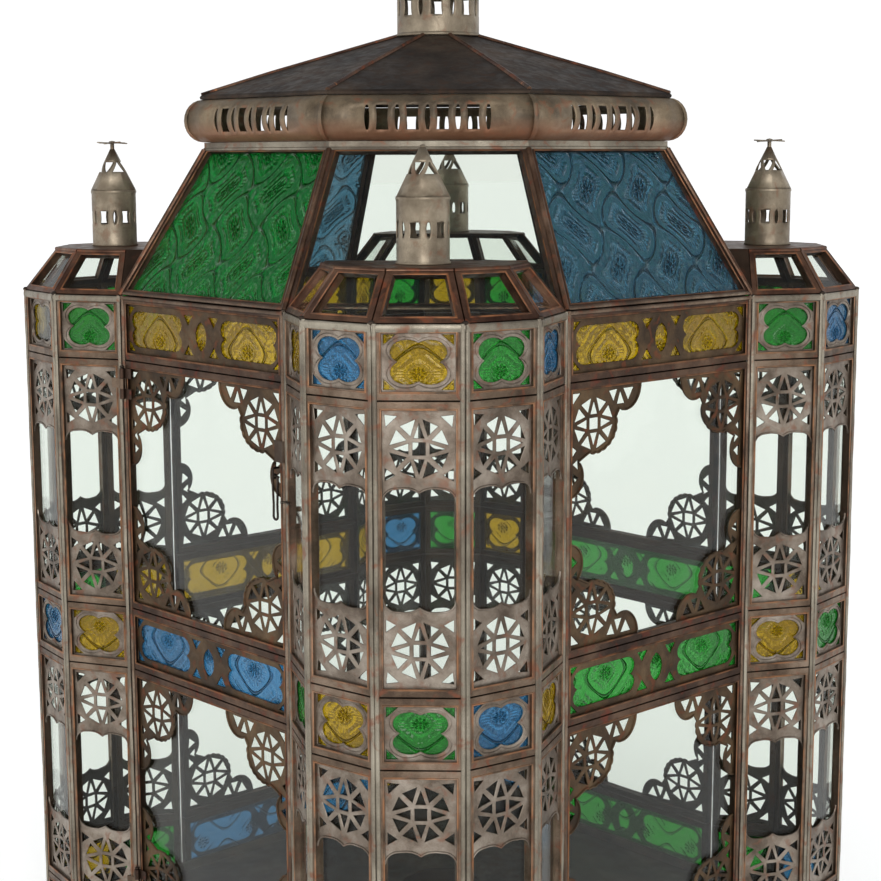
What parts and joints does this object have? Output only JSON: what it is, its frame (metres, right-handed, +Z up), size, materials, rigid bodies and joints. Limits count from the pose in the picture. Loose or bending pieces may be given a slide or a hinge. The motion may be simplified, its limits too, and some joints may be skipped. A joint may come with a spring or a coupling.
{
  "type": "lantern",
  "caption": "Candle lantern with four wide pierced walls, one a hinged door, a five-sided glazed bay on each corner, a glazed sloping roof, a vent band and a vented crown with a ring.",
  "frame": {"origin": "middle of the underside of the floor pan", "axes": "+Z up, -Y out through the door, +X to the right of someone who faces the door"},
  "size_m": [0.4886, 0.4886, 0.7969],
  "materials": {
    "patina": "thin sheet with a brown rust patina, copper on its rubbed edges, satin",
    "dark_patina": "thin sheet with a dark brown patina, dull",
    "wire": "dark iron wire, slightly rubbed",
    "clear_glass": "pressed figured glass, faintly grey-green",
    "amber_glass": "amber pressed glass",
    "blue_glass": "blue pressed glass",
    "green_glass": "green pressed glass"
  },
  "bodies": {
    "lantern": {"floor_pan": "dark_patina", "candle_dish": "dark_patina", "right_wall_frame": "patina", "right_wall_glass_band_bottom": "blue_glass", "right_wall_glass_window_lower": "clear_glass", "right_wall_glass_band_middle": "green_glass", "right_wall_glass_window_upper": "clear_glass", "right_wall_glass_band_top": "amber_glass", "back_wall_frame": "patina", "back_wall_glass_band_bottom": "green_glass", "back_wall_glass_window_lower": "clear_glass", "back_wall_glass_band_middle": "green_glass", "back_wall_glass_window_upper": "clear_glass", "back_wall_glass_band_top": "amber_glass", "left_wall_frame": "patina", "left_wall_glass_band_bottom": "blue_glass", "left_wall_glass_window_lower": "clear_glass", "left_wall_glass_band_middle": "amber_glass", "left_wall_glass_window_upper": "clear_glass", "left_wall_glass_band_top": "amber_glass", "hinge_pin_lower": "wire", "hinge_pin_upper": "wire", "latch_catch": "wire", "bay_front_left_frame": "patina", "bay_front_left_glass": "clear_glass", "bay_front_left_roof_glass": "clear_glass", "bay_front_left_finial": "patina", "bay_front_right_frame": "patina", "bay_front_right_glass": "clear_glass", "bay_front_right_roof_glass": "clear_glass", "bay_front_right_finial": "patina", "bay_back_right_frame": "patina", "bay_back_right_glass": "clear_glass", "bay_back_right_roof_glass": "clear_glass", "bay_back_right_finial": "patina", "bay_back_left_frame": "patina", "bay_back_left_glass": "clear_glass", "bay_back_left_roof_glass": "clear_glass", "bay_back_left_finial": "patina", "roof_frame": "patina", "roof_glass_door_green": "green_glass", "roof_glass_bay_front_right": "clear_glass", "roof_glass_right_blue": "blue_glass", "roof_glass_bay_back_right": "clear_glass", "roof_glass_back_green": "green_glass", "roof_glass_bay_back_left": "clear_glass", "roof_glass_left_blue": "blue_glass", "roof_glass_bay_front_left": "clear_glass", "vent_band": "patina", "vent_cap": "dark_patina", "crown": "patina"},
    "door": {"door_frame": "patina", "door_glass_band_bottom": "green_glass", "door_glass_window_lower": "clear_glass", "door_glass_band_middle": "blue_glass", "door_glass_window_upper": "clear_glass", "door_glass_band_top": "amber_glass", "latch_staple": "wire"},
    "latch_loop": {"latch_loop": "wire"},
    "hanging_ring": {"hanging_ring": "wire"}
  },
  "joints": [
    {"name": "door_hinge", "type": "hinge", "parent": "lantern", "child": "door", "pos_m": [-0.0907, -0.22165, 0.25], "axis": [0, 0, -1], "range_deg": [0, 120]},
    {"name": "latch_swing", "type": "hinge", "parent": "door", "child": "latch_loop", "pos_m": [0.0847, -0.22185, 0.3912], "axis": [0, 1, 0], "range_deg": [-15, 75]},
    {"name": "ring_swing", "type": "hinge", "parent": "lantern", "child": "hanging_ring", "pos_m": [0, 0, 0.7828], "axis": [0, -1, 0], "range_deg": [0, 300]}
  ]
}
